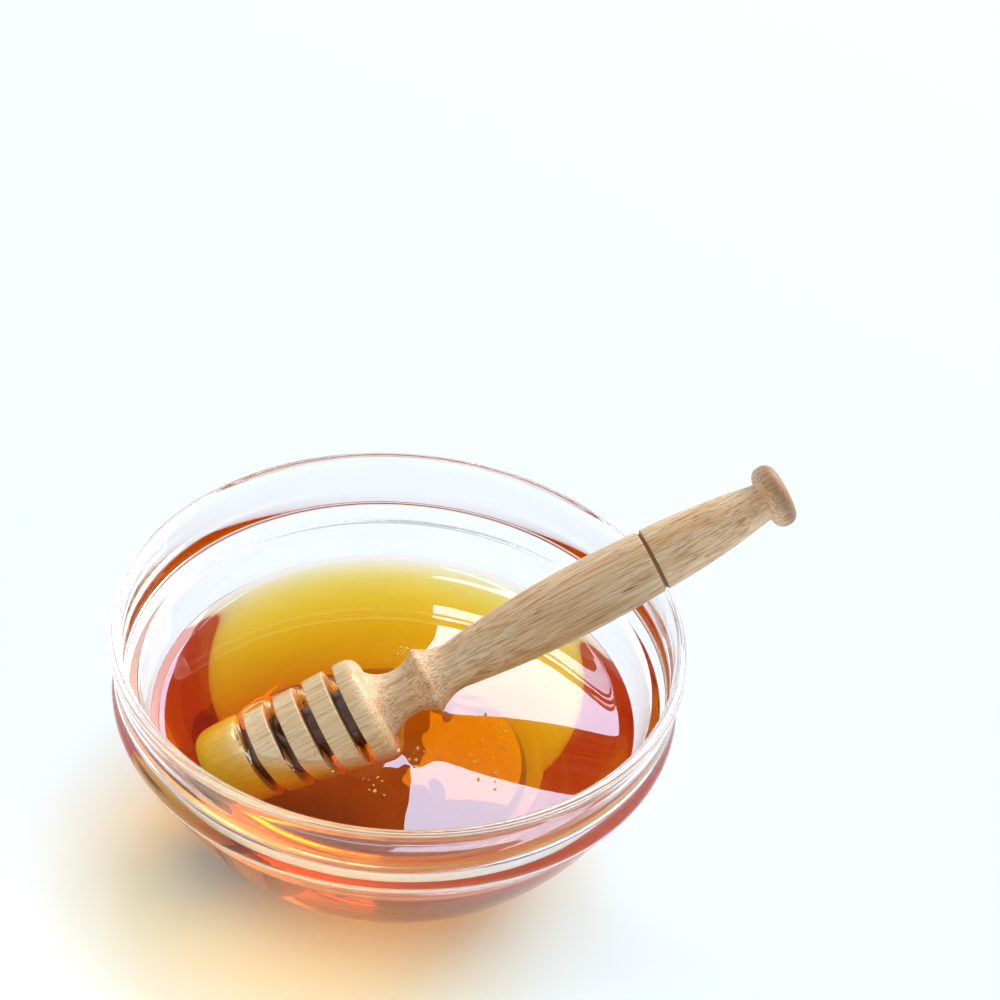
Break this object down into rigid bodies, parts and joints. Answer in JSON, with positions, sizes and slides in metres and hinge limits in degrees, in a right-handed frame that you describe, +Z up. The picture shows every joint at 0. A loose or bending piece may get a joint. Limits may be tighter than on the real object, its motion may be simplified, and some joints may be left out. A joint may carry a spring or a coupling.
{
  "type": "bowl of honey with dipper",
  "caption": "Clear pressed-glass stacking bowl part filled with amber honey, with a turned wooden honey dipper leaning on its rim.",
  "frame": {"origin": "centre of the bowl's flat foot, on the surface the bowl stands on", "axes": "+Z up along the bowl's axis; the dipper's knob points 20.3 degrees from +X towards +Y"},
  "size_m": [0.167, 0.141, 0.0925],
  "materials": {
    "glass": "clear pressed soda-lime glass, fire-polished",
    "honey": "clear amber honey, wet gloss",
    "beech": "turned beech, sanded, no varnish"
  },
  "bodies": {
    "root": {"bowl": "glass", "honey": "honey", "dipper": "beech"}
  },
  "joints": []
}
